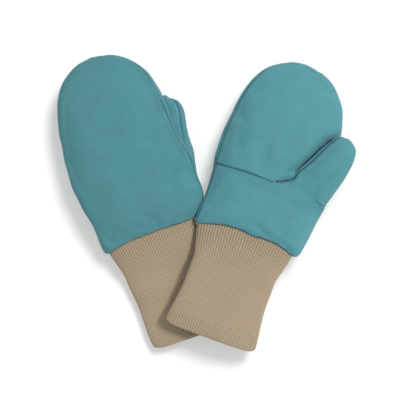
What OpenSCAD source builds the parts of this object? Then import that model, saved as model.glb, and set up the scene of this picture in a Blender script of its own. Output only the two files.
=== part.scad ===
// Pair of insulated mittens for handling very cold vessels, laid one cuff over the other.
// Right mitten palm up, left mitten palm down. Millimetres, Z up, bench top at Z = 0.
// Each mitten is drawn once: X across toward the thumb, Y toward the finger end,
// Z toward the palm, wrist seam at Y = 0. The left one is its mirror image.

/* [Mitten body] */
// Length from the wrist seam to the finger end
hand_l = 194.5; // [175:0.5:215]
// Half width of the hand pocket, outer side to middle
hand_w = 57; // [50:0.5:64]
// Height of the palm side above the middle plane
palm_h = 22; // [20:0.5:26]
// Height of the back below the middle plane
back_h = 18; // [16:0.5:22]
// How far the wrist opening sits toward the palm side
wrist_rise = 6; // [4:0.5:8]
// Height along the mitten of the seam across the palm
palm_seam_y = 66; // [62:0.5:70]
// Height along the mitten where the finger end curls
curl_y = 140; // [138:0.5:146]

/* [Fabric layers] */
// Thickness of the woven outer shell
shell_t = 1; // [0.6:0.1:1.4]
// Thickness of the wadding in the body
batting_t = 6; // [4:0.25:7]
// Thickness of the wadding in the thumb
thumb_batting_t = 4; // [3:0.25:4.5]
// Thickness of the fleece lining
lining_t = 1.5; // [1:0.1:2]
// Clearance left between neighbouring layers
layer_gap = 0.25; // [0.2:0.05:0.4]
// Half of the clearance left at each sewn edge
seam_gap = 0.35; // [0.3:0.05:0.5]

/* [Thumb] */
// Distance of the thumb root from the middle line
thumb_x = 42.5; // [40:0.5:45]
// Distance of the thumb root from the wrist seam
thumb_y = 66.9; // [65:0.1:69]
// Length from the thumb root to the thumb end
thumb_l = 72; // [66:0.5:73]
// Radius of the round thumb root
thumb_r = 21.3; // [19:0.1:21.5]
// Angle of the thumb from the mitten's long axis
thumb_angle = 21.3; // [18:0.1:24]

/* [Knit cuff] */
// Length of the cuff from wrist seam to folded hem
cuff_l = 106; // [90:1:120]
// Half width of the cuff at the wrist seam
cuff_wrist_w = 52; // [46:0.5:54]
// Half width of the cuff at the hem
cuff_hem_w = 46; // [40:0.5:50]
// Half thickness of the flattened cuff at the hem
cuff_hem_t = 8; // [7:0.25:9]
// Thickness of one ply of rib knit
ply_t = 2; // [1.5:0.1:2.2]

/* [Placing on the bench] */
// Wrist middle of the left mitten, sideways
left_x = -57.28; // [-62:0.01:-56]
// Wrist middle of the left mitten, lengthways
left_y = -34.24; // [-40:0.01:-30]
// Lean of the left mitten to the left
left_lean = 19; // [17:0.5:23]
// Extra lean of the left cuff from its mitten
left_cuff_lean = 4; // [0:0.5:5]
// How far the right mitten pushes in the left one's thumb side at the wrist
left_tuck = 9; // [0:0.5:14]
// Wrist middle of the right mitten, sideways
right_x = 39.41; // [39:0.01:46]
// Wrist middle of the right mitten, lengthways
right_y = -36.84; // [-43:0.01:-32]
// Lean of the right mitten to the right
right_lean = 20; // [18:0.5:24]
// Height of the middle of the right cuff at its hem
right_cuff_z = 26.5; // [25:0.5:32]

/* [Hidden] */

// Depth of each layer below the outside, [outer face, inner face]
shell = [0, shell_t];
batting = [shell[1] + layer_gap, shell[1] + layer_gap + batting_t];
lining = [batting[1] + layer_gap, batting[1] + layer_gap + lining_t];
thumb_batting = [shell[1] + layer_gap, shell[1] + layer_gap + thumb_batting_t];
thumb_lining = [thumb_batting[1] + layer_gap, thumb_batting[1] + layer_gap + 1.2];

// Outline of the hand pocket: [share of length, share of half width]
outer_edge = [
  [0, -0.88], [0.036, -0.985], [0.113, -0.975], [0.226, -0.95], [0.339, -0.94],
  [0.452, -0.985], [0.549, -1.02], [0.632, -1.005], [0.71, -0.955], [0.774, -0.9],
  [0.835, -0.83], [0.889, -0.728], [0.938, -0.58], [0.974, -0.395], [1, -0.16],
];
thumb_edge = [
  [0, 0.91], [0.036, 1.06], [0.113, 1.1], [0.226, 1.14], [0.339, 1.13],
  [0.452, 1.096], [0.549, 1.07], [0.632, 1.044], [0.71, 1], [0.774, 0.935],
  [0.835, 0.851], [0.889, 0.702], [0.938, 0.518], [0.974, 0.342], [1, 0.09],
];
// Fullness of the padding along the mitten
fullness = [
  [0, 0.6], [0.036, 0.68], [0.113, 0.8], [0.226, 0.93], [0.339, 1], [0.632, 1],
  [0.71, 0.96], [0.774, 0.9], [0.835, 0.8], [0.889, 0.67], [0.938, 0.5],
  [0.974, 0.31], [1, 0],
];

// Thumb: [distance from root, half width]
thumb_width = [
  [-thumb_r, 0], [-0.93 * thumb_r, 0.37 * thumb_r], [-0.75 * thumb_r, 0.66 * thumb_r],
  [-0.45 * thumb_r, 0.89 * thumb_r], [0, thumb_r], [12, 22.4], [26, 21.2], [39, 19.6],
  [0.71 * thumb_l, 17.6], [0.83 * thumb_l, 15.2], [0.915 * thumb_l, 12.2],
  [0.97 * thumb_l, 8.2], [thumb_l, 3],
];
thumb_full = [
  [-thumb_r, 0], [-0.93 * thumb_r, 0.4], [-0.75 * thumb_r, 0.7], [-0.45 * thumb_r, 0.92],
  [0, 1], [0.71 * thumb_l, 1], [0.83 * thumb_l, 0.92], [0.915 * thumb_l, 0.72],
  [0.97 * thumb_l, 0.45], [thumb_l, 0.02],
];
thumb_middle_z = 11.5;
thumb_under_z = 1.8;
thumb_half_t = 10.5;
ledge_t = 9;
ledge_drop = 8;

function smooth(t) = let (c = min(1, max(0, t))) c * c * (3 - 2 * c);
function share(table, y) = lookup(y / hand_l, table);
// Push on the thumb side, set for each mitten where it is placed
$tuck = 0;
function thumb_side(y) = hand_w * share(thumb_edge, y) - $tuck * (1 - smooth((y - 6) / 32));
function outer_side(y) = hand_w * share(outer_edge, y);
function middle_x(y) = (thumb_side(y) + outer_side(y)) / 2;
function half_w(y) = (thumb_side(y) - outer_side(y)) / 2;

// How much the pocket is pressed flat under the thumb
function under_thumb(x, y) =
  smooth((x - 4) / 24) * smooth((y - 40) / 22) * (1 - smooth((y - 128) / 20));
function middle_z(x, y) =
  wrist_rise * (1 - smooth(y / 50)) - ledge_drop * under_thumb(x, y);

// Rounded cross section, 1 at the middle and 0 at the sewn edge
function arch(s) = pow(max(0, 1 - pow(min(1, abs(s)), 2.2)), 0.42);

function palm_rise(s, x, y) =
  let (m = under_thumb(x, y), low = ledge_t * pow(arch(s), 0.5))
  1.12 * palm_h * share(fullness, y) * arch(s) * (1 - m) + low * m;
function back_rise(s, x, y) =
  1.12 * back_h * share(fullness, y) * arch(s) * (1 - under_thumb(x, y) * ledge_drop / back_h);

// Point on the palm side (side 1) or back (side -1) at depth d below the outside
function skin(side, s, y, d) =
  let (
    mid = middle_x(y),
    x = mid + half_w(y) * s,
    mz = middle_z(x, y),
    rise = side > 0 ? min(palm_rise(s, x, y), palm_h - mz)
                    : min(back_rise(s, x, y), back_h + mz),
    full = max(seam_gap, rise) - seam_gap,
    deep_y = y > curl_y ? curl_y + (y - curl_y) * (1 - d / (hand_l - curl_y)) : y
  )
  [
    mid + (x - mid) * (1 - d / hand_w),
    deep_y,
    mz + side * (seam_gap + full * (1 - d / palm_h))
  ];

// Positions across a panel, closer together at its edges
function across(n, s0, s1) = [for (j = [0:n]) s0 + (s1 - s0) * (1 - cos(180 * j / n)) / 2];

// Solid between two matching grids of points, outer face first
module slab(outer, inner, flip) {
  nu = len(outer) - 1;
  nv = len(outer[0]) - 1;
  w = nv + 1;
  n = (nu + 1) * w;
  points = concat([for (row = outer) each row], [for (row = inner) each row]);
  quads = concat(
    [for (i = [0:nu - 1], j = [0:nv - 1])
      [i * w + j, (i + 1) * w + j, (i + 1) * w + j + 1, i * w + j + 1]],
    [for (i = [0:nu - 1], j = [0:nv - 1])
      [n + i * w + j, n + i * w + j + 1, n + (i + 1) * w + j + 1, n + (i + 1) * w + j]],
    [for (i = [0:nu - 1]) [i * w, n + i * w, n + (i + 1) * w, (i + 1) * w]],
    [for (i = [0:nu - 1])
      [i * w + nv, (i + 1) * w + nv, n + (i + 1) * w + nv, n + i * w + nv]],
    [for (j = [0:nv - 1]) [j, j + 1, n + j + 1, n + j]],
    [for (j = [0:nv - 1])
      [nu * w + j, n + nu * w + j, n + nu * w + j + 1, nu * w + j + 1]]
  );
  tris = [for (q = quads) each [[q[0], q[1], q[2]], [q[0], q[2], q[3]]]];
  faces = flip ? [for (t = tris) [t[2], t[1], t[0]]] : tris;
  polyhedron(points = points, faces = faces, convexity = 6);
}

// Panel of one layer; grid holds [across, along] pairs
module panel(side, grid, layer) {
  outer = [for (row = grid) [for (p = row) skin(side, p[0], p[1], layer[0])]];
  inner = [for (row = grid) [for (p = row) skin(side, p[0], p[1], layer[1])]];
  slab(outer, inner, side < 0);
}

tip_rows = concat(
  [curl_y + 0.4],
  [for (k = [0.18, 0.38, 0.56, 0.72, 0.85, 0.94, 1]) curl_y + (hand_l - curl_y) * k]
);
tip_grid = [for (y = tip_rows) [for (s = across(12, -1, 1)) [s, y]]];

// Seam across the palm: level, then rising to the thumb
seam_climb = 12;
function palm_seam(x) = palm_seam_y + seam_climb * smooth((x - 8) / 18);

// Positions across the palm seam: up to the thumb root, then on to the thumb side
socket_r = thumb_r + 0.7;
function socket_x(y) = thumb_x - sqrt(max(0, pow(socket_r, 2) - pow(y - thumb_y, 2)));
function socket_edge(y) = (socket_x(y) - middle_x(y)) / half_w(y);
heel_top = palm_seam_y - 0.4;
top_edge_y = heel_top + palm_seam(21) - palm_seam_y;
seam_s = concat(
  across(11, -1, socket_edge(top_edge_y)),
  [for (k = [0.3, 0.6, 0.85, 1]) socket_edge(top_edge_y) * (1 - k) + k]
);

palm_steps = [0, 0.16, 0.33, 0.5, 0.67, 0.84, 1];
finger_grid = [for (k = palm_steps)
  [for (s = seam_s)
    let (
      x = middle_x(palm_seam_y) + half_w(palm_seam_y) * s,
      y0 = palm_seam(x) + 0.4,
      y1 = curl_y - 0.4
    )
    [s, y0 + (y1 - y0) * k]]];

// Heel of the palm, cut away round the thumb root
socket_low = thumb_y - socket_r;
heel_rows = [0.3, 7, 20, 33, socket_low - 0.6];
heel_steps = [0, 0.25, 0.55, 1];
function heel_y(k) = socket_low + 0.2 + (heel_top - socket_low - 0.2) * k;
heel_low = [for (y = heel_rows) [for (s = across(11, -1, 1)) [s, y]]];
heel_high = [for (k = heel_steps)
  let (y = heel_y(k), edge = socket_edge(y + (palm_seam(21) - palm_seam_y) * k))
  [for (s = across(11, -1, edge))
    let (x = middle_x(y) + half_w(y) * s)
    [s, y + (palm_seam(x) - palm_seam_y) * k]]];
heel_grid = concat(heel_low, heel_high);

// Back of the mitten: rows meet the rows of the palm panels at both side seams
back_ends = concat(
  [for (y = heel_rows) [y, y]],
  [for (k = [0.25, 0.55]) [heel_y(k), socket_low + 30 * k]],
  [for (k = palm_steps)
    let (y0 = palm_seam_y + 0.4, y1 = curl_y - 0.4)
    [y0 + (y1 - y0) * k, y0 + seam_climb + (y1 - y0 - seam_climb) * k]]
);
back_grid = [for (e = back_ends)
  [for (s = across(12, -1, 1)) [s, e[0] + (e[1] - e[0]) * (s + 1) / 2]]];

// Thumb: middle height, top and underside along its length
function thumb_mid_z(t) = 1 + (thumb_middle_z - 1) * smooth((t + thumb_r) / 37);
function thumb_top(t) =
  let (mz = thumb_mid_z(t), full = lookup(t, thumb_full))
  min(palm_h - mz, (t < 0 ? 17 : 12) * full + (t < 0 ? 0 : 5 * (1 - smooth(t / 12))));
function thumb_under(t) =
  let (mz = thumb_mid_z(t)) min(mz - thumb_under_z, thumb_half_t) * lookup(t, thumb_full);

function thumb_skin(side, s, t, d) =
  let (
    w = lookup(t, thumb_width),
    rise = (side > 0 ? thumb_top(t) : thumb_under(t)) * arch(s),
    full = max(seam_gap, rise) - seam_gap,
    deep = t < 0 ? t * (1 - d / thumb_r) : t * (1 - d / thumb_l),
    x = w * s * (1 - d / thumb_r),
    mz = thumb_mid_z(t)
  )
  [
    thumb_x + x * cos(thumb_angle) + deep * sin(thumb_angle),
    thumb_y - x * sin(thumb_angle) + deep * cos(thumb_angle),
    mz + side * (seam_gap + full * (1 - d / (thumb_half_t + 1)))
  ];

module thumb_panel(side, stations, layer) {
  grid = across(8, -1, 1);
  outer = [for (t = stations) [for (s = grid) thumb_skin(side, s, t, layer[0])]];
  inner = [for (t = stations) [for (s = grid) thumb_skin(side, s, t, layer[1])]];
  slab(outer, inner, side < 0);
}
thumb_front = concat(
  [for (k = [-0.98, -0.86, -0.66, -0.36, 0]) k * thumb_r],
  [for (k = [0.17, 0.36, 0.54, 0.71, 0.83, 0.915, 0.97, 1]) k * thumb_l]
);
thumb_back = concat([1.5], [for (k = [0.17, 0.36, 0.54, 0.71, 0.83, 0.915, 0.97, 1]) k * thumb_l]);

// Closed profile of [along, depth] points swept round the flattened cuff
module wrist_ring(profile, hem_z, lean) {
  steps = 32;
  np = len(profile);
  points = [for (k = [0:steps - 1], p = profile) cuff_point(360 * k / steps, p, hem_z, lean)];
  quads = [for (k = [0:steps - 1], i = [0:np - 1])
    let (a = k * np, b = ((k + 1) % steps) * np, i2 = (i + 1) % np)
    [a + i, a + i2, b + i2, b + i]];
  polyhedron(
    points = points,
    faces = [for (q = quads) each [[q[0], q[2], q[1]], [q[0], q[3], q[2]]]],
    convexity = 8
  );
}

// Tube of two knit plies folded at the hem
module cuff_tube(hem_z, lean) {
  ys = [-0.8, -10, -30, -55, -80, 3 - cuff_l];
  outer = [for (y = ys) [y, 0]];
  hem = [[0.4 - cuff_l, 0.7 * ply_t], [0.4 - cuff_l, 1.6 * ply_t]];
  inner = [for (i = [5:-1:0]) [ys[i], 2 * ply_t + 0.4]];
  slot_in = [for (i = [0, 3]) [ys[i], ply_t + 0.4]];
  slot_end = [[6 - cuff_l, ply_t + 0.4], [6 - cuff_l, ply_t]];
  slot_out = [for (i = [3, 0]) [ys[i], ply_t]];
  wrist_ring(concat(outer, hem, inner, slot_in, slot_end, slot_out), hem_z, lean);
}

function round_cos(a) = sign(cos(a)) * pow(abs(cos(a)), 0.92);
function round_sin(a) = sign(sin(a)) * pow(abs(sin(a)), 0.78);
function cuff_point(a, p, hem_z, lean) =
  let (
    y = p[0],
    k = smooth(-y / 45),
    w = cuff_wrist_w + (cuff_hem_w - cuff_wrist_w) * smooth(-y / 40) - p[1],
    t = 11 + (cuff_hem_t - 11) * k - p[1],
    z = wrist_rise + (hem_z - wrist_rise) * k,
    push = 0.9 * $tuck * (1 - k) * max(0, cos(a))
  )
  [w * round_cos(a) - push - y * tan(lean), y, z + t * round_sin(a)];

// Thin cord of square section along a list of points
module cord(path, r) {
  n = len(path);
  corners = [[-r, -r], [r, -r], [r, r], [-r, r]];
  points = [for (p = path, c = corners) [p[0], p[1] + c[0], p[2] + c[1]]];
  sides = [for (i = [0:n - 2], c = [0:3])
    let (a = i * 4, b = (i + 1) * 4, c2 = (c + 1) % 4)
    [a + c, b + c, b + c2, a + c2]];
  ends = [[0, 1, 2, 3], [4 * n - 1, 4 * n - 2, 4 * n - 3, 4 * n - 4]];
  polyhedron(
    points = points,
    faces = concat([for (q = sides) each [[q[0], q[1], q[2]], [q[0], q[2], q[3]]]], ends),
    convexity = 6
  );
}

module back_shell() { color("#4f8f95") panel(-1, back_grid, shell); }
module back_tip_shell() { color("#4f8f95") panel(-1, tip_grid, shell); }
module finger_palm_shell() { color("#5a99a1") panel(1, finger_grid, shell); }
module palm_tip_shell() { color("#5a99a1") panel(1, tip_grid, shell); }
module heel_shell() { color("#5a99a1") panel(1, heel_grid, shell); }
module thumb_front_shell() { color("#5a99a1") thumb_panel(1, thumb_front, shell); }
module thumb_back_shell() { color("#4f8f95") thumb_panel(-1, thumb_back, shell); }

module back_batting() { color("#f2f2ea") panel(-1, back_grid, batting); }
module back_tip_batting() { color("#f2f2ea") panel(-1, tip_grid, batting); }
module finger_palm_batting() { color("#f2f2ea") panel(1, finger_grid, batting); }
module palm_tip_batting() { color("#f2f2ea") panel(1, tip_grid, batting); }
module heel_batting() { color("#f2f2ea") panel(1, heel_grid, batting); }
module thumb_front_batting() { color("#f2f2ea") thumb_panel(1, thumb_front, thumb_batting); }
module thumb_back_batting() { color("#f2f2ea") thumb_panel(-1, thumb_back, thumb_batting); }

module back_lining() { color("#d9d6cc") panel(-1, back_grid, lining); }
module back_tip_lining() { color("#d9d6cc") panel(-1, tip_grid, lining); }
module finger_palm_lining() { color("#d9d6cc") panel(1, finger_grid, lining); }
module palm_tip_lining() { color("#d9d6cc") panel(1, tip_grid, lining); }
module heel_lining() { color("#d9d6cc") panel(1, heel_grid, lining); }
module thumb_front_lining() { color("#d9d6cc") thumb_panel(1, thumb_front, thumb_lining); }
module thumb_back_lining() { color("#d9d6cc") thumb_panel(-1, thumb_back, thumb_lining); }

module left_cuff() { color("#ab9d81") cuff_tube(palm_h - cuff_hem_t, left_cuff_lean); }
module right_cuff() { color("#ab9d81") cuff_tube(right_cuff_z - back_h, 0); }

// Stitching that joins the cuff to the body
module wrist_thread() {
  color("#3f7f86") wrist_ring([[-0.05, 0.8], [-0.45, 0.8], [-0.45, 1.2], [-0.05, 1.2]], 0, 0);
}
// Stitching of the seam across the palm
module palm_thread() {
  path = [for (s = [for (k = [1:11]) seam_s[k]])
    let (x = middle_x(palm_seam_y) + half_w(palm_seam_y) * s, y = palm_seam(x))
    skin(1, s, y, 0.5)];
  color("#3f7f86") cord(path, 0.2);
}

module on_left() {
  $tuck = left_tuck;
  translate([left_x, left_y, palm_h]) rotate([0, 0, left_lean]) mirror([0, 0, 1]) children();
}
module on_right() {
  translate([right_x, right_y, back_h]) rotate([0, 0, -right_lean]) children();
}

on_left() back_shell();  // left_back_shell
on_left() back_tip_shell();  // left_back_tip_shell
on_left() finger_palm_shell();  // left_finger_palm_shell
on_left() palm_tip_shell();  // left_palm_tip_shell
on_left() heel_shell();  // left_heel_shell
on_left() thumb_front_shell();  // left_thumb_front_shell
on_left() thumb_back_shell();  // left_thumb_back_shell
on_left() back_batting();  // left_back_batting
on_left() back_tip_batting();  // left_back_tip_batting
on_left() finger_palm_batting();  // left_finger_palm_batting
on_left() palm_tip_batting();  // left_palm_tip_batting
on_left() heel_batting();  // left_heel_batting
on_left() thumb_front_batting();  // left_thumb_front_batting
on_left() thumb_back_batting();  // left_thumb_back_batting
on_left() back_lining();  // left_back_lining
on_left() back_tip_lining();  // left_back_tip_lining
on_left() finger_palm_lining();  // left_finger_palm_lining
on_left() palm_tip_lining();  // left_palm_tip_lining
on_left() heel_lining();  // left_heel_lining
on_left() thumb_front_lining();  // left_thumb_front_lining
on_left() thumb_back_lining();  // left_thumb_back_lining
on_left() left_cuff();
on_left() wrist_thread();  // left_wrist_thread
on_left() palm_thread();  // left_palm_thread
on_right() back_shell();  // right_back_shell
on_right() back_tip_shell();  // right_back_tip_shell
on_right() finger_palm_shell();  // right_finger_palm_shell
on_right() palm_tip_shell();  // right_palm_tip_shell
on_right() heel_shell();  // right_heel_shell
on_right() thumb_front_shell();  // right_thumb_front_shell
on_right() thumb_back_shell();  // right_thumb_back_shell
on_right() back_batting();  // right_back_batting
on_right() back_tip_batting();  // right_back_tip_batting
on_right() finger_palm_batting();  // right_finger_palm_batting
on_right() palm_tip_batting();  // right_palm_tip_batting
on_right() heel_batting();  // right_heel_batting
on_right() thumb_front_batting();  // right_thumb_front_batting
on_right() thumb_back_batting();  // right_thumb_back_batting
on_right() back_lining();  // right_back_lining
on_right() back_tip_lining();  // right_back_tip_lining
on_right() finger_palm_lining();  // right_finger_palm_lining
on_right() palm_tip_lining();  // right_palm_tip_lining
on_right() heel_lining();  // right_heel_lining
on_right() thumb_front_lining();  // right_thumb_front_lining
on_right() thumb_back_lining();  // right_thumb_back_lining
on_right() right_cuff();
on_right() wrist_thread();  // right_wrist_thread
on_right() palm_thread();  // right_palm_thread
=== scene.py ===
"""Looks for a pair of padded mittens with rib-knit cuffs, laid one cuff over the other.

Each mitten is drawn in its own millimetres: X across toward the thumb, Y toward the finger
end, Z toward the palm, wrist seam at Y = 0. to_world() lays it in the row frame in metres.
"""

import math

import bmesh
import bpy
import numpy as np
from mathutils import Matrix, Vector


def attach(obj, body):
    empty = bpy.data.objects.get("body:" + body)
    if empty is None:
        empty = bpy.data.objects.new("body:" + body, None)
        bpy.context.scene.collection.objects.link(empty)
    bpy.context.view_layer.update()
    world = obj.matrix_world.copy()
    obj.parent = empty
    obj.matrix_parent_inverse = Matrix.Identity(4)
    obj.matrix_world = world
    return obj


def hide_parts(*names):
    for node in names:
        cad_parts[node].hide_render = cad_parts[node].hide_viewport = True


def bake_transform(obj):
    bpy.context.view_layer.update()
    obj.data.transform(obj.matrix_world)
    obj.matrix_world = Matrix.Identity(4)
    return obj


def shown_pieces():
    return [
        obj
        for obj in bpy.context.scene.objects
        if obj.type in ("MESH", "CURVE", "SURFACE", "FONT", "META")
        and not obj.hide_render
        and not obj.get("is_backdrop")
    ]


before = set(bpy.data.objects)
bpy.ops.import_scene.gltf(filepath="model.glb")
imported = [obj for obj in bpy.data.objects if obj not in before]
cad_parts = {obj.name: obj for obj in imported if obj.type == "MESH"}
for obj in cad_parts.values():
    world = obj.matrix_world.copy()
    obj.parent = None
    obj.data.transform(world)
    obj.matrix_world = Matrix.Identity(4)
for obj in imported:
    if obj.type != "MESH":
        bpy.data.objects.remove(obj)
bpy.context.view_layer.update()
MM = 0.001

# Height of the wrist's middle over the face the mitten lies on, palm down or back down.
PALM_H = 22.0
BACK_H = 18.0

# How each mitten lies: wrist middle (mm), turn (degrees), side its palm faces; then its cuff's
# sideways lean (degrees) and the height of its hem (mm).
SIDES = {
    "right": {"at": (39.41, -36.84, BACK_H), "turn": -20.0, "palm": 1.0, "cuff_lean": 0.0,
              "hem_z": 8.5},
    "left": {"at": (-57.28, -34.24, PALM_H), "turn": 19.0, "palm": -1.0, "cuff_lean": 7.0,
             "hem_z": 14.0},
}

# Layers of the mitten: shell thickness, then outer and inner depth under the shell's face.
SHELL_T = 0.8
HAND_WADDING = (2.8, 6.6)
HAND_LINING = (7.4, 8.6)
THUMB_WADDING = (2.6, 4.8)
THUMB_LINING = (5.4, 6.2)

# Turned-in panel edges: depth of the groove, height of the swell beside it, and strength of the
# shade painted into the groove.
ACROSS = (1.1, 0.3, 1.0)
SEWN = (0.8, 0.3, 0.8)
RIDGE = (0.8, 0.75, 0.8)
HEM = (1.3, 0.1, 0.8)
FAR_EDGE = 99.0

# Cloth simulation: last frame, share of its lift that is kept, and the most it may lift.
SIM_FRAMES = 20
PUFF_SHARE = 0.7
PUFF_CAP = 1.2

# Rib-knit cuffs: ribs round, points to a rib, length of each from wrist to hem, ply spacing.
CUFF_RIBS = 74
RIB_POINTS = 8
CUFF_LENGTH = {"right": 107.4, "left": 112.0}
PLY_STEP = 3.6

# Camera, in metres: height over the framed plane, the width it sees there, that plane's height
# over the bench, and the point below the camera.
CAMERA_HEIGHT = 2.4
VIEW_WIDTH = 0.416
VIEW_MIDDLE = (-0.006985, 0.00526)
VIEW_PLANE = 0.024

# Hand pocket, row by row: outer side x, y, thumb side x, y, palm height, back height, middle.
HAND = np.array([
    [-50.6, 0.0, 51.4, -1.0, 11.6, 11.4, 6.0],
    [-54.0, 2.0, 56.2, 0.8, 13.8, 12.8, 5.9],
    [-55.8, 6.5, 58.6, 5.0, 15.6, 14.2, 5.5],
    [-56.2, 14.0, 59.8, 13.0, 17.2, 15.6, 4.6],
    [-56.2, 35.0, 62.7, 34.0, 20.0, 18.0, 1.6],
    [-57.0, 58.0, 65.9, 56.0, 21.6, 19.2, 0.2],
    [-58.3, 76.0, 64.8, 76.0, 22.2, 19.8, 0.0],
    [-58.9, 92.0, 62.8, 94.0, 22.4, 20.0, 0.0],
    [-58.5, 107.0, 60.8, 110.0, 22.4, 20.0, 0.0],
    [-57.0, 122.0, 59.0, 124.0, 22.0, 19.6, 0.0],
    [-55.2, 137.0, 56.8, 136.5, 21.2, 18.8, 0.0],
    [-51.8, 151.5, 53.0, 150.5, 19.6, 17.4, 0.0],
    [-46.9, 164.5, 48.2, 163.5, 17.2, 15.4, 0.0],
    [-39.2, 176.0, 39.4, 175.0, 14.2, 12.8, 0.0],
    [-28.6, 184.6, 30.2, 183.4, 11.2, 10.0, 0.0],
    [-18.6, 190.2, 20.2, 188.8, 8.0, 7.2, 0.0],
    [-10.0, 192.4, 10.6, 191.4, 5.0, 4.6, 0.0],
    [-3.0, 193.2, -3.0, 193.2, 0.0, 0.0, 0.0],
])
HAND_END = len(HAND) - 1.0

# Thumb, row by row: inner x, y, outer x, y, height to the palm side, height under, middle.
THUMB = np.array([
    [15.0, 66.0, 62.0, 48.0, 9.0, 4.0, 6.0],
    [21.8, 76.0, 67.8, 62.0, 12.4, 6.0, 8.4],
    [25.2, 84.4, 70.6, 76.4, 12.6, 7.6, 9.8],
    [31.0, 94.0, 73.4, 88.6, 12.6, 8.8, 10.8],
    [37.0, 105.0, 76.0, 100.6, 12.4, 9.2, 11.4],
    [42.4, 116.4, 78.3, 111.8, 12.0, 9.2, 11.6],
    [47.6, 125.4, 78.0, 120.8, 11.0, 8.8, 11.6],
    [51.2, 131.2, 76.2, 127.2, 9.4, 7.8, 11.6],
    [55.2, 134.2, 72.6, 131.2, 7.0, 6.0, 11.6],
    [59.8, 135.2, 68.4, 133.8, 4.2, 3.8, 11.6],
    [64.4, 135.0, 64.4, 135.0, 0.0, 0.0, 11.6],
])
THUMB_END = len(THUMB) - 1.0
THUMB_INNER = 150.0

# Seam across the palm, [x, y], up to the crotch.
PALM_SEAM = np.array([
    [-64.0, 64.2], [-52.0, 65.2], [-38.0, 66.4], [-24.0, 67.0], [-10.0, 67.0], [2.0, 66.8],
    [10.0, 68.2], [16.0, 70.8], [21.0, 74.2], [26.0, 79.0],
])
CROTCH = np.array([25.6, 78.6])


def smooth(t):
    t = np.clip(t, 0.0, 1.0)
    return t * t * (3.0 - 2.0 * t)


def bump(value, middle, width):
    return np.exp(-(((value - middle) / width) ** 2))


def spline(rows, t):
    """Catmull-Rom curve through rows at whole values of t."""
    n = len(rows) - 1
    t = np.clip(np.asarray(t, float), 0.0, n)
    i = np.minimum(t.astype(int), n - 1)
    f = (t - i)[..., None]
    p0 = rows[np.maximum(i - 1, 0)]
    p1 = rows[i]
    p2 = rows[i + 1]
    p3 = rows[np.minimum(i + 2, n)]
    slope = (p2 - p0) * f
    bend = (2.0 * p0 - 5.0 * p1 + 4.0 * p2 - p3) * f * f
    cubic = (3.0 * p1 - p0 - 3.0 * p2 + p3) * f * f * f
    return 0.5 * (2.0 * p1 + slope + bend + cubic)


def under_thumb(x, y):
    """How far the pocket is pressed flat under the thumb, 0 to 1."""
    across = (x - 21.8) * 0.886 - (y - 76.0) * 0.463
    near_crotch = 1.0 - 0.55 * bump(np.hypot(x - CROTCH[0], y - CROTCH[1]), 0.0, 9.0)
    return (near_crotch * smooth((across + 11.0) / 19.0) * smooth((y - 44.0) / 24.0)
            * (1 - smooth((y - 124) / 22)))


def ring(rows, t, angle):
    """Middle line, height factor and heights of a flattened ring at an angle in degrees."""
    r = spline(rows, t)
    a = np.radians(angle)
    c = np.sign(np.cos(a)) * np.abs(np.cos(a)) ** 0.8
    s = np.abs(np.sin(a)) ** 0.8
    x = (r[..., 0] + r[..., 2]) / 2 + (r[..., 2] - r[..., 0]) / 2 * c
    y = (r[..., 1] + r[..., 3]) / 2 + (r[..., 3] - r[..., 1]) / 2 * c
    return x, y, s, r[..., 4], r[..., 5], r[..., 6], np.sin(a) >= 0


def hand(t, angle, dip=True):
    """Point on the outside of the hand pocket: 0 degrees thumb side, 90 palm, 270 back."""
    x, y, s, palm, back, mid, up = ring(HAND, t, angle)
    m = under_thumb(x, y) if dip else 0.0 * x
    rise = palm * s * (1 - m) + 9.0 * np.sqrt(s) * m
    fall = back * s * (1 - m * 0.44)
    mid = mid - 8.0 * m
    return np.stack([x, y, np.where(up, mid + rise, mid - fall)], -1)


def thumb(t, angle):
    """Point on the outside of the thumb, with the same angles."""
    x, y, s, palm, under, mid, up = ring(THUMB, t, angle)
    return np.stack([x, y, np.where(up, mid + palm * s, mid - under * s)], -1)


def seam_y(x):
    i = np.interp(x, PALM_SEAM[:, 0], np.arange(len(PALM_SEAM)))
    return spline(PALM_SEAM, i)[..., 1]


def beyond_seam(p):
    """Positive on the finger side of the palm seam, whose line runs level past the crotch."""
    x = np.minimum(p[..., 0], CROTCH[0])
    return p[..., 1] - seam_y(x)


def seam_t(angle):
    """Row of the hand ring at which the palm seam crosses an angle."""
    lo = np.full(np.shape(angle), 3.0)
    hi = np.full(np.shape(angle), 9.0)
    for _ in range(26):
        m = (lo + hi) / 2
        short = beyond_seam(hand(m, angle)) < 0
        lo = np.where(short, m, lo)
        hi = np.where(short, hi, m)
    return (lo + hi) / 2


def crotch_angle():
    """Angle on the hand ring where the palm seam reaches the thumb."""
    lo, hi = 20.0, 120.0
    for _ in range(30):
        m = (lo + hi) / 2
        past = hand(seam_t(np.array([m])), np.array([m]))[0, 0] > CROTCH[0]
        lo, hi = (m, hi) if past else (lo, m)
    return (lo + hi) / 2


def outer_seam(t):
    """Angle of the side seam on the outer side, a little onto the palm."""
    return 180.0 - 15.5 * smooth(t / 3.0) * (1 - smooth((t - 12.0) / 3.5))


def thumb_side_seam(t):
    """Angle of the side seam on the thumb side, a little onto the back."""
    return -22.0 * smooth((t - 1.0) / 6.0) * (1 - smooth((t - 11.5) / 3.5))


def thumb_outer(t):
    """Angle of the seam along the outer side of the thumb."""
    return -28.0 - 22.0 * smooth((t - 1.0) / 2.0) * (1 - smooth((t - 6.5) / 3.0))


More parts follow.
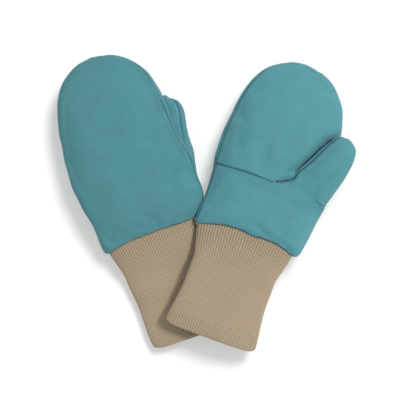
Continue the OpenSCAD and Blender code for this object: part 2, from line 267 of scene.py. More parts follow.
# Hand rows at which the palm seam meets the outer side and the thumb's root meets the hand.
OUTER_T = 5.36
OUTER_A = float(outer_seam(OUTER_T))
CROTCH_A = crotch_angle()
ROOT_T = 4.3
ROOT_GROW = 1.0
SEAM_CROTCH = hand(seam_t(np.array([CROTCH_A])), np.array([CROTCH_A]))[0]
SIDE_T = np.array([ROOT_T + ROOT_GROW])
INNER_PULL = SEAM_CROTCH - thumb(np.array([1.0]), np.array([THUMB_INNER]))[0]
OUTER_ROOT = hand(SIDE_T, thumb_side_seam(SIDE_T))[0]
OUTER_PULL = OUTER_ROOT - thumb(np.array([1.0]), thumb_outer(1.0))[0]


def heel_panel(u, w):
    """Heel of the palm, running on without a seam into the front of the thumb, its root eased."""
    reach = 0.022 * bump(u, 0.66, 0.12) * smooth(np.minimum(w, 1 - w) / 0.16)
    near = [heel_rows(np.clip(u + k * reach, 0, 1), w) for k in (-3, -2, -1, 0, 1, 2, 3)]
    return np.mean(near, axis=0)


def heel_rows(u, w):
    """Heel panel row by row: the heel up to the seam across the palm, then the thumb."""
    k1 = np.clip(u * 3, 0, 1)
    k2 = np.clip(u * 3 - 1, 0, 1)
    k3 = np.clip(u * 3 - 2, 0, 1)
    low_t = k1 * OUTER_T
    a0 = np.where(u * 3 < 1, outer_seam(low_t), OUTER_A + (CROTCH_A - OUTER_A) * k2)
    t0 = np.where(u * 3 < 1, low_t, seam_t(a0))
    t1 = ROOT_T * k1 + ROOT_GROW * k2
    a1 = thumb_side_seam(t1)
    w3 = w[..., None]
    flat = hand(t0 + (t1 - t0) * w, a0 + (a1 - a0) * w, False)
    tt = 1.0 + (THUMB_END - 1.0) * k3
    tube = thumb(tt, THUMB_INNER + (thumb_outer(tt) - THUMB_INNER) * w)
    g = smooth(k2)[..., None]
    p = flat * (1 - g) + tube * g
    first = hand(t0, a0, False) * (1 - g) + thumb(1.0 + 0 * w, THUMB_INNER + 0 * w) * g
    last = hand(t1, a1, False) * (1 - g) + thumb(1.0 + 0 * w, thumb_outer(1.0) + 0 * w) * g
    fade = (1 - smooth(k3 * (THUMB_END - 1.0) / 2.5))[..., None]
    p = p + fade * (1 - w3) ** 6 * (hand(t0, a0) - first)
    return p + fade * w3 ** 6 * (hand(t1, a1) - last)


def finger_panel(u, w):
    """Palm side of the finger pocket, reaching under the thumb as far as the thumb's root."""
    a0 = OUTER_A + (float(thumb_side_seam(5.6)) - OUTER_A) * w
    t0 = seam_t(a0)
    under = smooth((w - 0.62) / 0.36)
    t0 = t0 + (ROOT_T + ROOT_GROW - t0) * under
    t = t0 + (HAND_END - t0) * u
    return hand(t, outer_seam(t) + (thumb_side_seam(t) - outer_seam(t)) * w)


def back_panel(u, w):
    """Whole back of the mitten."""
    t = HAND_END * u
    return hand(t, outer_seam(t) + (360.0 + thumb_side_seam(t) - outer_seam(t)) * w)


def thumb_back_panel(u, w):
    """Underside and inner face of the thumb."""
    t = 0.5 + (THUMB_END - 0.5) * u
    out = thumb_outer(t)
    p = thumb(t, out + (THUMB_INNER - 360.0 - out) * w)
    fade = (1 - smooth((t - 1.0) / 2.5))[..., None]
    w3 = w[..., None]
    return p + fade * ((1 - w3) ** 3 * OUTER_PULL + w3 ** 3 * INNER_PULL)


# Course of each wrist seam across the mitten, [x, y].
WRIST_LINE = {
    "right": [[-54, -1.4], [-39, 4.3], [-24, 8.2], [-10, 9.2], [0, 8.6], [7, 7.4], [16, 9.0],
              [24, 8.8], [32, 8.6], [42, 6.0], [54, 1.8]],
    "left": [[-52, -1.5], [-40, 1.8], [-24, 4.6], [0, 5.4], [10, 6.0], [24, 5.9], [36, 5.5],
             [54, 6.2]],
}


def wrist_line(x, side):
    """Height of the wrist seam at x, its corners softened."""
    line = np.array(WRIST_LINE[side])
    near = [np.interp(x + shift, line[:, 0], line[:, 1]) for shift in (-4, -2, 0, 2, 4)]
    return np.mean(near, axis=0)


def lay(p, side):
    """Presses the mitten on the bench and gives each hand its own outline and wrist line."""
    x, y, z = p[..., 0], p[..., 1], p[..., 2]
    y = y + wrist_line(x, side) * (1 - smooth(y / 24.0))
    if side == "left":
        toward = smooth((x - 5.0) / 45.0)
        away = smooth((-x - 5.0) / 45.0)
        thumb_end = smooth((x - 58.0) / 12.0)
        x = x + toward * (4.0 * bump(y, 30, 14) + 2.0 * bump(y, 66, 14))
        x = x - toward * 4.5 * (1 - smooth((y + 4) / 24))
        x = x + away * (3.4 * (1 - smooth((y + 2) / 56)) - 1.6 * bump(y, 70, 22))
        x = x - thumb_end * 3.2 * smooth((y - 72.0) / 34.0)
        x = x + 2.4 * smooth((y - 104.0) / 56.0) * (1 - thumb_end)
        y = y + 3.8 * smooth((y - 95.0) / 95.0) * (1 - thumb_end)
        y = y - 2.0 * smooth((y - 108.0) / 20.0) * thumb_end
        z = PALM_H - np.logaddexp(0.0, (PALM_H - z) / 0.7) * 0.7
    else:
        z = -BACK_H + np.logaddexp(0.0, (z + BACK_H) / 0.7) * 0.7
    return np.stack([x, y, z], -1)


def to_world(p, side):
    s = SIDES[side]
    a = math.radians(s["turn"])
    wx = s["at"][0] + p[..., 0] * math.cos(a) - p[..., 1] * math.sin(a)
    wy = s["at"][1] + p[..., 0] * math.sin(a) + p[..., 1] * math.cos(a)
    return np.stack([wx, wy, s["at"][2] + p[..., 2] * s["palm"]], -1) * MM


def steps(length, core, edges=(True, True)):
    """Values from 0 to 1 for a panel so many millimetres long, closer together at sewn edges."""
    close = [0.0, 0.35, 0.7, 1.05, 1.5, 2.1, 2.9, 3.9, 5.2]
    start = close if edges[0] else [0.0]
    end = close if edges[1] else [0.0]
    n = max(2, int((length - start[-1] - end[-1]) / core))
    middle = np.linspace(start[-1], length - end[-1], n)[1:-1]
    return np.concatenate([start, middle, length - np.array(end[::-1])]) / length


def grid_normals(p, outward=1.0):
    n = np.cross(np.gradient(p, axis=1), np.gradient(p, axis=0))
    length = np.linalg.norm(n, axis=-1, keepdims=True)
    return outward * n / np.maximum(length, 1e-9)


def edge_distances(p):
    """Distance along the cloth from each point to the first and last row and column."""
    du = np.linalg.norm(np.diff(p, axis=0), axis=-1)
    dv = np.linalg.norm(np.diff(p, axis=1), axis=-1)
    cu = np.concatenate([np.zeros((1, p.shape[1])), np.cumsum(du, 0)], 0)
    cv = np.concatenate([np.zeros((p.shape[0], 1)), np.cumsum(dv, 1)], 1)
    return {"start": cu, "end": cu[-1:] - cu, "left": cv, "right": cv[:, -1:] - cv}


def waves(p, seed, scale, count=18):
    """Smooth unevenness: a fixed sum of waves over the three coordinates."""
    rng = np.random.default_rng(seed)
    total = np.zeros(p.shape[:-1])
    for _ in range(count):
        k = rng.normal(size=3)
        k *= rng.uniform(0.6, 1.6) * 2 * np.pi / scale / np.linalg.norm(k)
        total += np.sin(p @ k + rng.uniform(0, 2 * np.pi))
    return total / math.sqrt(count / 2)


def folds(p, creases):
    """Raised (positive) or sunk (negative) soft lines: [x0, y0, x1, y1, width, height]."""
    total = np.zeros(p.shape[:-1])
    q = p[..., :2]
    for x0, y0, x1, y1, width, height in creases:
        a = np.array([x0, y0])
        d = np.array([x1, y1]) - a
        k = ((q - a) @ d) / (d @ d)
        near = a + np.clip(k, 0, 1)[..., None] * d
        far = np.linalg.norm(q - near, axis=-1)
        fade = 0.35 + 0.65 * np.sin(np.pi * np.clip(k, 0, 1))
        total += height * bump(far, 0.0, width) * fade
    return total


def puckers(p):
    """Small gathers fanning out of the crotch across the finger pocket."""
    d = p[..., :2] - CROTCH
    r = np.linalg.norm(d, axis=-1)
    turn = np.arctan2(d[..., 1], -d[..., 0])
    return 0.4 * bump(r, 9.0, 8.0) * np.sin(6.5 * turn + 0.4)


def simulated_puff(p, normals, pinned):
    """Lift off its first shape of one panel held at its sewn edges, from a cloth simulation."""
    nu, nv = p.shape[:2]
    obj = grid_object("cloth_trial", p * MM, False)
    group = obj.vertex_groups.new(name="pin")
    group.add([int(i) for i in np.flatnonzero(pinned.ravel())], 1.0, "REPLACE")
    mod = obj.modifiers.new("cloth", "CLOTH")
    cloth = mod.settings
    cloth.quality = 5
    cloth.mass = 0.12
    cloth.tension_stiffness = 12.0
    cloth.compression_stiffness = 12.0
    cloth.shear_stiffness = 4.0
    cloth.bending_stiffness = 0.35
    cloth.vertex_group_mass = "pin"
    cloth.pin_stiffness = 1.0
    cloth.shrink_min = -0.018
    cloth.use_pressure = True
    cloth.uniform_pressure_force = 1.2
    cloth.effector_weights.gravity = 0.0
    mod.collision_settings.use_collision = False
    scene = bpy.context.scene
    mod.point_cache.frame_start = 1
    mod.point_cache.frame_end = SIM_FRAMES
    for f in range(1, SIM_FRAMES + 1):
        scene.frame_set(f)
        bpy.context.view_layer.update()
    shape = obj.evaluated_get(bpy.context.evaluated_depsgraph_get()).to_mesh()
    co = np.zeros(nu * nv * 3)
    shape.vertices.foreach_get("co", co)
    moved = co.reshape(nu, nv, 3) / MM - p
    scene.frame_set(1)
    mesh = obj.data
    bpy.data.objects.remove(obj)
    bpy.data.meshes.remove(mesh)
    lift = np.sum(moved * normals, -1)
    return np.where(np.isfinite(lift), lift, 0.0)


def resample(field, u0, w0, u, w):
    """Bilinear reading of a coarse field at finer steps."""
    rows = np.array([np.interp(w, w0, row) for row in field])
    return np.array([np.interp(u, u0, rows[:, j]) for j in range(rows.shape[1])]).T


def grid_object(name, p, flip):
    """Mesh from a grid of points; a closed end with joined points is merged later."""
    nu, nv = p.shape[:2]
    i, j = np.meshgrid(np.arange(nu - 1), np.arange(nv - 1), indexing="ij")
    i, j = i.ravel(), j.ravel()
    quads = np.stack([i * nv + j, i * nv + j + 1, (i + 1) * nv + j + 1, (i + 1) * nv + j], -1)
    if flip:
        quads = quads[:, ::-1]
    mesh = bpy.data.meshes.new(name)
    mesh.from_pydata(p.reshape(-1, 3).tolist(), [], quads.tolist())
    mesh.polygons.foreach_set("use_smooth", [True] * len(mesh.polygons))
    obj = bpy.data.objects.new(name, mesh)
    bpy.context.scene.collection.objects.link(obj)
    return obj


def store(obj, name, values):
    attribute = obj.data.attributes.new(name, "FLOAT", "POINT")
    attribute.data.foreach_set("value", np.asarray(values, np.float32).ravel())


def store_uv(obj, uv):
    layer = obj.data.uv_layers.new(name="UVMap")
    index = np.zeros(len(obj.data.loops), np.int32)
    obj.data.loops.foreach_get("vertex_index", index)
    layer.data.foreach_set("uv", uv.reshape(-1, 2)[index].astype(np.float32).ravel())


def close_ends(obj):
    """Joins points that lie on each other and drops faces with no area."""
    bm = bmesh.new()
    bm.from_mesh(obj.data)
    bmesh.ops.remove_doubles(bm, verts=bm.verts, dist=1e-5)
    bmesh.ops.dissolve_degenerate(bm, edges=bm.edges, dist=1e-6)
    bm.to_mesh(obj.data)
    bm.free()


def thicken(obj, depth):
    """Gives a sheet its thickness, inward, and applies it."""
    mod = obj.modifiers.new("thickness", "SOLIDIFY")
    mod.thickness = depth * MM
    mod.offset = -1.0
    apply_modifiers(obj)


def apply_modifiers(obj):
    shape = obj.evaluated_get(bpy.context.evaluated_depsgraph_get())
    mesh = bpy.data.meshes.new_from_object(shape)
    obj.modifiers.clear()
    old = obj.data
    obj.data = mesh
    mesh.name = obj.name
    bpy.data.meshes.remove(old)


def node(tree, kind, **values):
    n = tree.nodes.new(kind)
    for key, value in values.items():
        if key in n.inputs:
            n.inputs[key].default_value = value
        else:
            setattr(n, key, value)
    return n


def math_node(tree, operation, *values):
    n = tree.nodes.new("ShaderNodeMath")
    n.operation = operation
    for socket, value in zip(n.inputs, values):
        if isinstance(value, (int, float)):
            socket.default_value = value
        else:
            tree.links.new(value, socket)
    return n.outputs[0]


def texture(tree, kind, vector, **values):
    n = node(tree, kind, **values)
    tree.links.new(vector, n.inputs["Vector"])
    return n


def scaled(tree, vector, scale):
    n = node(tree, "ShaderNodeMapping")
    n.inputs["Scale"].default_value = scale
    tree.links.new(vector, n.inputs["Vector"])
    return n.outputs[0]


def stripes(tree, value, pitch):
    """1 on the crests and 0 in the troughs of a wave of this pitch."""
    turned = math_node(tree, "MULTIPLY", value, 2 * math.pi / pitch)
    wave = math_node(tree, "SINE", turned)
    return math_node(tree, "MULTIPLY_ADD", wave, 0.5, 0.5)


def new_material(name, rough, sheen):
    mat = bpy.data.materials.new(name)
    mat.use_nodes = True
    tree = mat.node_tree
    bsdf = tree.nodes["Principled BSDF"]
    bsdf.inputs["Roughness"].default_value = rough
    bsdf.inputs["Specular IOR Level"].default_value = 0.25
    bsdf.inputs["Sheen Weight"].default_value = sheen
    bsdf.inputs["Sheen Roughness"].default_value = 0.45
    return mat, tree, bsdf


def tinted(tree, color, amount):
    """color with its brightness multiplied by a value."""
    n = node(tree, "ShaderNodeVectorMath", operation="SCALE")
    n.inputs[0].default_value = color
    tree.links.new(amount, n.inputs["Scale"])
    return n.outputs[0]


def uv_parts(tree):
    coord = node(tree, "ShaderNodeTexCoord")
    split = node(tree, "ShaderNodeSeparateXYZ")
    tree.links.new(coord.outputs["UV"], split.inputs[0])
    return coord.outputs["UV"], split.outputs["X"], split.outputs["Y"]


def between(tree, value, low, high):
    """Maps a 0 to 1 value onto low to high."""
    n = node(tree, "ShaderNodeMapRange")
    n.inputs["To Min"].default_value = low
    n.inputs["To Max"].default_value = high
    tree.links.new(value, n.inputs["Value"])
    return n.outputs["Result"]


def raised(tree, height, distance, strength, under=None):
    """Surface normal of a relief, laid over another relief's normal where one is given."""
    n = node(tree, "ShaderNodeBump")
    n.inputs["Distance"].default_value = distance
    n.inputs["Strength"].default_value = strength
    tree.links.new(height, n.inputs["Height"])
    if under is not None:
        tree.links.new(under, n.inputs["Normal"])
    return n.outputs["Normal"]


def shell_cloth(name, color):
    """Coated plain-weave cloth: fine weave, slubs, soft mottling, shade painted into the seam
    grooves.
    """
    mat, tree, bsdf = new_material(name, 0.82, 0.12)
    uv, u, v = uv_parts(tree)
    weave = math_node(tree, "MULTIPLY", stripes(tree, u, 0.62), stripes(tree, v, 0.62))
    mottle = texture(tree, "ShaderNodeTexNoise", uv, Scale=0.055, Detail=3.0, Roughness=0.55)
    grain = texture(tree, "ShaderNodeTexNoise", uv, Scale=1.1, Detail=2.0)
    slub_at = scaled(tree, uv, (0.055, 0.42, 1.0))
    slub = texture(tree, "ShaderNodeTexNoise", slub_at, Scale=1.0, Detail=4.0, Roughness=0.62)
    seam = node(tree, "ShaderNodeAttribute", attribute_name="seam")
    shade = between(tree, mottle.outputs[0], 0.90, 1.10)
    shade = math_node(tree, "MULTIPLY", shade, between(tree, grain.outputs[0], 0.94, 1.06))
    shade = math_node(tree, "MULTIPLY", shade, between(tree, slub.outputs[0], 0.90, 1.10))
    shade = math_node(tree, "MULTIPLY", shade, between(tree, weave, 0.97, 1.03))
    # painted shade: the "seam" attribute darkens the cloth to 0.55 along the seam grooves
    shade = math_node(tree, "MULTIPLY", shade, between(tree, seam.outputs["Fac"], 1.0, 0.55))
    tone = node(tree, "ShaderNodeAttribute", attribute_name="tone")
    shade = math_node(tree, "MULTIPLY", shade, tone.outputs["Fac"])
    tree.links.new(tinted(tree, color, shade), bsdf.inputs["Base Color"])
    tree.links.new(between(tree, grain.outputs[0], 0.76, 0.9), bsdf.inputs["Roughness"])
    rough = raised(tree, slub.outputs[0], 0.0012, 0.35)
    rough = raised(tree, grain.outputs[0], 0.0005, 0.3, rough)
    tree.links.new(raised(tree, weave, 0.0002, 0.5, rough), bsdf.inputs["Normal"])
    return mat


def rib_cloth(name, color):
    """One by one rib: shade painted into the furrows, leaning stitches down each rib with shade
    painted between them, uneven yarn.
    """
    mat, tree, bsdf = new_material(name, 0.95, 0.2)
    uv, u, v = uv_parts(tree)
    crest = node(tree, "ShaderNodeAttribute", attribute_name="crest")
    across = math_node(tree, "SUBTRACT", math_node(tree, "FRACT", u), 0.5)
    lean = math_node(tree, "ABSOLUTE", across)
    offset = math_node(tree, "MULTIPLY", math_node(tree, "FLOOR", u), 0.78)
    along = math_node(tree, "ADD", v, math_node(tree, "MULTIPLY", lean, 1.6))
    along = math_node(tree, "ADD", along, offset)
    stitch = stripes(tree, along, 2.1)
    yarn = texture(tree, "ShaderNodeTexNoise", uv, Scale=0.9, Detail=3.0)
    mottle = texture(tree, "ShaderNodeTexNoise", uv, Scale=0.06, Detail=2.0)
    # painted shade: the "crest" attribute darkens the rib furrows to 0.66 of the yarn colour
    shade = between(tree, crest.outputs["Fac"], 0.66, 1.06)
    # painted shade: the stitch wave darkens the yarn to 0.92 in the gaps between stitches
    shade = math_node(tree, "MULTIPLY", shade, between(tree, stitch, 0.92, 1.06))
    shade = math_node(tree, "MULTIPLY", shade, between(tree, yarn.outputs[0], 0.86, 1.14))
    shade = math_node(tree, "MULTIPLY", shade, between(tree, mottle.outputs[0], 0.93, 1.07))
    tree.links.new(tinted(tree, color, shade), bsdf.inputs["Base Color"])
    rough = raised(tree, yarn.outputs[0], 0.0006, 0.4)
    tree.links.new(raised(tree, stitch, 0.0006, 0.5, rough), bsdf.inputs["Normal"])
    return mat


def plain_cloth(name, color, scale, depth):
    """Soft fibre or yarn with fine unevenness only."""
    mat, tree, bsdf = new_material(name, 0.95, 0.3)
    coord = node(tree, "ShaderNodeTexCoord")
    fluff = texture(tree, "ShaderNodeTexNoise", coord.outputs["Object"], Scale=scale, Detail=4.0)
    shade = between(tree, fluff.outputs[0], 0.85, 1.12)
    tree.links.new(tinted(tree, color, shade), bsdf.inputs["Base Color"])
    tree.links.new(raised(tree, fluff.outputs[0], depth, 0.6), bsdf.inputs["Normal"])
    return mat


TEAL = (0.071, 0.241, 0.273)
BEIGE = (0.338, 0.267, 0.180)
MATERIALS = {
    "shell": shell_cloth("shell_cloth", TEAL),
    "rib_knit": rib_cloth("rib_knit_yarn", BEIGE),
    "batting": plain_cloth("wadding_fibre", (0.80, 0.80, 0.76), 900.0, 0.001),
    "lining": plain_cloth("lining_fleece", (0.62, 0.60, 0.54), 1400.0, 0.0006),
    "thread": plain_cloth("seam_thread", (0.012, 0.085, 0.10), 3000.0, 0.0002),
}


def finished(obj, slot):
    obj.data.materials.clear()
    obj.data.materials.append(MATERIALS[slot])


def layers(side, *parts):
    return [side + "_" + part for part in parts]


def bend_fingers(obj, side):
    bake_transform(obj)


def bend_thumb(obj, side):
    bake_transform(obj)


# Brightness of each mitten's cloth, and of one panel that differs.
TONE = {"right": 1.0, "left": 0.86, ("left", "thumb_back"): 0.96}

# Soft lines on each panel, [x0, y0, x1, y1, width, height] in the mitten's millimetres.
FOLDS = {
    "right_finger": [
        [3.5, 78, -1, 106, 5.0, 1.7], [-10, 80, -13, 106, 6.5, -1.3], [13, 86, 9, 108, 3.4, -0.9],
        [8, 82, 20, 81, 1.8, -0.9], [15, 80.5, 28, 88, 2.2, -2.4], [-8, 71.5, 8, 71.5, 3, -0.8],
        [30, 150, 2, 172, 11, 0.5],
    ],
    "right_heel": [
        [25.5, 76, 29.5, 60, 1.8, -0.5], [29, 72, 33, 60, 4.5, 0.4], [-30, 22, -4, 14, 5, -0.4],
        [4, 18, 22, 12, 3, -1.5], [6, 25, 30, 18, 4, 0.9], [46, 20, 56, 44, 6, 0.4],
        [-46, 34, -44, 58, 5, 0.4],
    ],
    "left_back": [
        [-6, 25.5, 5, 20.5, 2.4, -1.0], [3, 22, 10, 9, 2.4, -1.2], [-12, 21.5, 2, 17, 3.2, 1.9],
        [2, 17, 8, 8, 3.0, 1.6], [11, 25, 18, 12, 4.0, 1.2], [-42, 24, -18, 11, 4, -1.1],
        [28, 14, 40, 30, 4, -0.7],
    ],
}


def shell_panel(side, name, surface, size, edges, seed, nodes, bend):
    """One cut piece of the shell, from its surface to its thickness."""
    outward = -1.0 if name == "back" else 1.0
    u = steps(size[0], 2.2, ("start" in edges, False))
    w = steps(size[1], 2.2)
    U, W = np.meshgrid(u, w, indexing="ij")
    p = lay(surface(U, W), side)
    n = grid_normals(p, outward)
    d = edge_distances(p)
    lift = relief(p, d, side, name, "start" in edges, seed)
    lift += puff(surface, side, outward, size, u, w)
    # painted shade: each turned-in edge darkens its cloth along the groove; the "seam" attribute
    # carries it to the material
    painted_groove_shade = np.zeros(p.shape[:2])
    for edge, (depth, swell, shade) in edges.items():
        lift += swell * bump(d[edge], 3.0, 2.2) - depth * bump(d[edge], 0.0, 0.8)
        painted_groove_shade = np.maximum(painted_groove_shade, shade * bump(d[edge], 0.0, 0.9))
    flip = (side == "left") != (name == "back")
    p = to_world(p + n * lift[..., None], side)
    obj = grid_object(side + "_" + name + "_shell_cloth", p, flip)
    store(obj, "seam", painted_groove_shade)
    store(obj, "tone", np.full(painted_groove_shade.shape, TONE.get((side, name), TONE[side])))
    store_uv(obj, np.stack([d["left"], d["start"]], -1))
    close_ends(obj)
    thicken(obj, SHELL_T)
    finished(obj, "shell")
    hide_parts(*nodes)
    bend(obj, side)


def relief(p, d, side, name, sewn_start, seed):
    """Unevenness, folds and gathers of one panel, all fading out toward its sewn edges."""
    start = d["start"] + (0 if sewn_start else FAR_EDGE)
    inside = np.minimum(np.minimum(d["left"], d["right"]), start)
    calm = smooth(inside / 14.0)
    lift = 0.28 * waves(p, seed, 42.0) * calm + 0.07 * waves(p, seed + 1, 15.0) * calm
    lift += folds(p, FOLDS.get(side + "_" + name, [])) * smooth(inside / 2.5)
    if name == "finger":
        lift += puckers(p) * smooth(inside / 3.0)
    return lift


def puff(surface, side, outward, size, u, w):
    """Lift from a cloth simulation on a coarser copy of the panel, read at the finer steps."""
    u0 = np.linspace(0, 1, max(12, int(size[0] / 4.2)))
    w0 = np.linspace(0, 1, max(12, int(size[1] / 4.2)))
    U, W = np.meshgrid(u0, w0, indexing="ij")
    p = lay(surface(U, W), side)
    p[-1] = p[-1] + (p[-2] - p[-1]) * 0.35
    pinned = np.zeros(p.shape[:2], bool)
    pinned[:, 0] = pinned[:, -1] = True
    pinned[0] = pinned[-1] = True
    lift = simulated_puff(p, grid_normals(p, outward), pinned)
    return resample(np.clip(lift * PUFF_SHARE, -PUFF_CAP, PUFF_CAP), u0, w0, u, w)


def drawn_in(rings, depth):
    """Rings of points moved inward by depth, less where the pocket is too thin for it."""
    wrapped = np.concatenate([rings[:, -1:], rings, rings[:, :1]], 1)
    inward = grid_normals(wrapped)[:, 1:-1]
    inward[-1] = np.array([0.0, -1.0, 0.0])
    facing = np.roll(rings[:, ::-1], 1, axis=1)
    gap = np.abs(rings[..., 2] - facing[..., 2])
    upright = np.abs(inward[..., 2])
    room = gap / np.maximum(upright, 0.08) + 60.0 * (1 - smooth(upright / 0.5))
    room[-1] = 60.0
    share = 0.45 * depth / (depth + 1.0)
    return rings + inward * np.minimum(depth, share * room)[..., None]


def pocket(side, name, slot, rings, depths, parts, bend):
    """Soft pocket of one wall thickness inside the shell, open at its first ring."""
    outer, inner = depths
    rows = np.concatenate([drawn_in(rings, inner)[::-1], drawn_in(rings, outer)])
    rows = np.concatenate([rows, rows[:, :1]], 1)
    obj = grid_object(side + "_" + name, to_world(rows, side), side == "left")
    close_ends(obj)
    finished(obj, slot)
    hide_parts(*[side + "_" + part + "_" + slot for part in parts])
    bend(obj, side)


def hand_rings(side):
    """Rings of the hand pocket from just past the wrist to the finger end."""
    t = np.concatenate([np.linspace(0.4, 12, 40), np.linspace(12.3, HAND_END, 18)])
    T, A = np.meshgrid(t, np.linspace(0, 360, 73)[:-1], indexing="ij")
    return lay(hand(T, A), side)


def thumb_rings(side):
    """Rings of the thumb, its first ones drawn back into the hand."""
    t = np.linspace(1.3, THUMB_END, 32)
    T, A = np.meshgrid(t, np.linspace(0, 360, 41)[:-1], indexing="ij")
    rings = lay(thumb(T, A), side)
    middle = rings.mean(1, keepdims=True)
    return middle + (rings - middle) * (0.62 + 0.38 * smooth((T - 1.3) / 2.8))[..., None]


def cuff_ring(side, y, around, depth):
    """Points round the flattened cuff at a distance from the wrist, depth inside its face."""
    s = SIDES[side]
    k = smooth(-y / 45.0)
    a = np.radians(around)
    c = np.sign(np.cos(a)) * np.abs(np.cos(a)) ** 0.86
    b = np.sign(np.sin(a)) * np.abs(np.sin(a)) ** 0.74
    wide = 51.8 - 7.4 * smooth(-y / 34.0) + 4.6 * smooth((-y - 56.0) / 50.0)
    x = (wide - depth) * c - y * math.tan(math.radians(s["cuff_lean"]))
    droop = 0.0
    if side == "left":
        x = x + (1 - k) * (4.4 * np.maximum(0, -c) - 3.4 * np.maximum(0, c))
    else:
        droop = -6.5 * smooth((x - 6.0) / 44.0) * smooth((-y - 35.0) / 60.0)
    t = 10.8 - 3.2 * k - depth
    z = 6.0 + (s["hem_z"] - 6.0) * k + t * b + droop
    line = (wrist_line(x, side) + 3.0) * (1 - smooth(-y / 26.0))
    corner = 3.0 * np.abs(c) ** 12 * smooth((20.0 - CUFF_LENGTH[side] - y) / 20.0)
    return np.stack([x, y + line + corner, z], -1)


def even_turns(side, count):
    """Angles round the cuff that space its ribs evenly along the cloth."""
    a = np.linspace(0, 360, 2881)
    p = cuff_ring(side, -60.0, a, 0.0)
    run = np.concatenate([[0], np.cumsum(np.linalg.norm(np.diff(p, axis=0), axis=1))])
    return np.interp(np.linspace(0, run[-1], count + 1)[:-1], run, a)


def cuff_path(hem):
    """Distances from the wrist and depths: down the outer ply, round the hem, up the inner."""
    path = [[y, 0.0] for y in (0.0, -1.0, -2.0, -3.5)]
    path += [[y, 0.0] for y in np.linspace(-5, hem + 2, 64)]
    path += [[hem + 0.6, 0.25], [hem - 0.3, 0.9], [hem - 0.6, 1.7]]
    path += [[hem - 0.3, 2.6], [hem + 0.6, 3.3]]
    path += [[y, PLY_STEP] for y in np.linspace(hem + 2.5, 0.0, 30)]
    return path


def cuff(side):
    """Rib-knit tube, folded at the hem into two plies."""
    n = CUFF_RIBS * RIB_POINTS
    around = even_turns(side, n)
    rib = np.linspace(0, CUFF_RIBS, n + 1)[:-1]
    crest = 0.5 - 0.5 * np.cos(2 * np.pi * rib)
    hem = -CUFF_LENGTH[side]
    path = cuff_path(hem)
    rows = []
    painted_furrow_shade = []
    for y, depth in path:
        strong = 0.5 + 0.5 * (1 - smooth(-y / 36.0)) + 0.25 * smooth((hem + 26.0 - y) / 22.0)
        face = -1.0 if depth < 1.7 else 1.0
        sway = 0.22 * np.sin(y / 11.0 + rib * 0.31) + 0.12 * np.sin(y / 4.1 + rib * 1.13)
        rib_depth = depth + face * 0.7 * strong * (crest - 0.3)
        rows.append(cuff_ring(side, y, around + sway, rib_depth))
        # painted shade for the furrows: 1 on the crests, lower in the furrows, deeper where the
        # ribs stand out
        painted_furrow_shade.append(1.0 - (1.0 - np.append(crest, crest[0])) * min(1.0, strong))
    p = np.array(rows)
    p[..., 2] += 0.4 * waves(p, 31, 60.0) * smooth(-p[..., 1] / 20.0)
    p = np.concatenate([p, p[:, :1]], 1)
    stride = np.linalg.norm(np.diff(path, axis=0), axis=1)
    run = np.append(0.0, np.cumsum(stride))
    obj = grid_object(side + "_cuff_rib_knit", to_world(p, side), side == "right")
    store(obj, "crest", painted_furrow_shade)
    store_uv(obj, np.stack(np.meshgrid(np.append(rib, CUFF_RIBS), run), -1))
    close_ends(obj)
    finished(obj, "rib_knit")
    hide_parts(side + "_cuff")
    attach(obj, side + "_hand")


def cord(side, name, path, radius, closed, nodes, place):
    """Round thread along a line of points in the mitten's millimetres."""
    tangent = np.gradient(path, axis=0)
    if closed:
        tangent = (np.roll(path, -1, 0) - np.roll(path, 1, 0)) / 2
    tangent /= np.maximum(np.linalg.norm(tangent, axis=1, keepdims=True), 1e-9)
    up = np.array([0.0, 0.0, 1.0])
    side_way = np.cross(tangent, up)
    side_way /= np.maximum(np.linalg.norm(side_way, axis=1, keepdims=True), 1e-9)
    other = np.cross(side_way, tangent)
    rings = []
    for a in np.linspace(0, 2 * np.pi, 7):
        rings.append(path + radius * (math.cos(a) * side_way + math.sin(a) * other))
    p = np.stack(rings, 1)
    if closed:
        p = np.concatenate([p, p[:1]], 0)
    obj = grid_object(side + "_" + name, to_world(p, side), side == "left")
    close_ends(obj)
    finished(obj, "thread")
    if nodes:
        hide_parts(*nodes)
    place(obj, side)


def ride_hand(obj, side):
    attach(obj, side + "_hand")


def threads(side):
    """Sewing thread in the seams; the palm's stands proud where the heel's cloth covers it."""
    a = OUTER_A + (CROTCH_A - OUTER_A) * np.linspace(0.0, 1.0, 60)
    palm = lay(hand(seam_t(a), a), side) - np.array([0, 0, 0.12])
    palm[:, 2] += 1.1 * bump(palm[:, 0], 6.5, 5.0)
    cord(side, "palm_seam_thread", palm, 0.42, False, layers(side, "palm_thread"), ride_hand)
    a = np.linspace(0, 360, 181)[:-1]
    wrist = lay(hand(0 * a + 0.02, a), side)
    cord(side, "wrist_seam_thread", wrist, 0.34, True, layers(side, "wrist_thread"), ride_hand)
    u = np.linspace(2 / 3, 0.985, 60)
    inner = lay(heel_panel(u, 0 * u), side) - np.array([0, 0, 0.3])
    cord(side, "thumb_seam_thread", inner, 0.3, False, [], bend_thumb)


def shell(side):
    """The four cut panels of one mitten, each with its size along and across in millimetres."""
    shell_panel(side, "heel", heel_panel, (215, 120),
                {"start": HEM, "left": ACROSS, "right": SEWN},
                11, layers(side, "heel_shell", "thumb_front_shell"), bend_thumb)
    shell_panel(side, "finger", finger_panel, (130, 130),
                {"start": ACROSS, "left": SEWN, "right": SEWN},
                21, layers(side, "finger_palm_shell", "palm_tip_shell"), bend_fingers)
    shell_panel(side, "back", back_panel, (200, 140),
                {"start": HEM, "left": SEWN, "right": RIDGE},
                31, layers(side, "back_shell", "back_tip_shell"), bend_fingers)
    shell_panel(side, "thumb_back", thumb_back_panel, (85, 60),
                {"left": SEWN, "right": SEWN},
                41, layers(side, "thumb_back_shell"), bend_thumb)


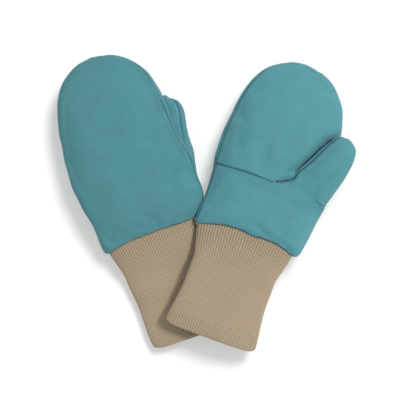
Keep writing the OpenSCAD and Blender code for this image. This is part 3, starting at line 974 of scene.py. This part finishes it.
def soft_layers(side):
    """Wadding and lining of the hand pocket, then of the thumb."""
    rings = hand_rings(side)
    parts = ("back", "back_tip", "finger_palm", "palm_tip", "heel")
    pocket(side, "hand_wadding", "batting", rings, HAND_WADDING, parts, bend_fingers)
    pocket(side, "hand_lining", "lining", rings, HAND_LINING, parts, bend_fingers)
    rings = thumb_rings(side)
    parts = ("thumb_front", "thumb_back")
    pocket(side, "thumb_wadding", "batting", rings, THUMB_WADDING, parts, bend_thumb)
    pocket(side, "thumb_lining", "lining", rings, THUMB_LINING, parts, bend_thumb)


def mitten(side):
    shell(side)
    soft_layers(side)
    cuff(side)
    threads(side)


def stage_and_light():
    """White bench, even studio light all round, and one sun each for the mittens and bench."""
    scene = bpy.context.scene
    bpy.ops.mesh.primitive_plane_add(size=6.0)
    floor = bpy.context.object
    floor.name = "bench_top"
    mat = bpy.data.materials.new("bench_white")
    mat.use_nodes = True
    bsdf = mat.node_tree.nodes["Principled BSDF"]
    bsdf.inputs["Base Color"].default_value = (0.46, 0.46, 0.46, 1)
    bsdf.inputs["Emission Color"].default_value = (1, 1, 1, 1)
    bsdf.inputs["Emission Strength"].default_value = 0.34
    bsdf.inputs["Roughness"].default_value = 1.0
    bsdf.inputs["Specular IOR Level"].default_value = 0.0
    floor.data.materials.append(mat)
    floor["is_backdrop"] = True
    world = bpy.data.worlds.new("studio")
    world.use_nodes = True
    world.node_tree.nodes["Background"].inputs[0].default_value = (1, 1, 1, 1)
    world.node_tree.nodes["Background"].inputs[1].default_value = 0.76
    scene.world = world
    lit = bpy.data.collections.new("lit_by_key")
    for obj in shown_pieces():
        lit.objects.link(obj)
    bench = bpy.data.collections.new("bench_only")
    bench.objects.link(floor)
    sun_lamp("key", (-0.72, -0.34, -1.0), 2.4, 13, lit)
    sun_lamp("bench_key", (-0.50, -0.72, -1.0), 3.9, 24, bench)
    scene.view_settings.view_transform = "Standard"


def sun_lamp(name, direction, energy, angle, receivers):
    """Distant lamp that lights only the receivers."""
    sun = bpy.data.lights.new(name, "SUN")
    sun.energy = energy
    sun.angle = math.radians(angle)
    lamp = bpy.data.objects.new(name, sun)
    lamp.rotation_mode = "QUATERNION"
    lamp.rotation_quaternion = Vector(direction).to_track_quat("-Z", "Y")
    bpy.context.scene.collection.objects.link(lamp)
    lamp.light_linking.receiver_collection = receivers


def camera():
    """Straight down over the pair, as in the photograph."""
    data = bpy.data.cameras.new("camera")
    data.sensor_width = 36.0
    data.lens = data.sensor_width * CAMERA_HEIGHT / VIEW_WIDTH
    data.clip_end = 20.0
    obj = bpy.data.objects.new("camera", data)
    obj.location = (*VIEW_MIDDLE, CAMERA_HEIGHT + VIEW_PLANE)
    bpy.context.scene.collection.objects.link(obj)
    bpy.context.scene.camera = obj


for hand_side in ("right", "left"):
    mitten(hand_side)
stage_and_light()
camera()
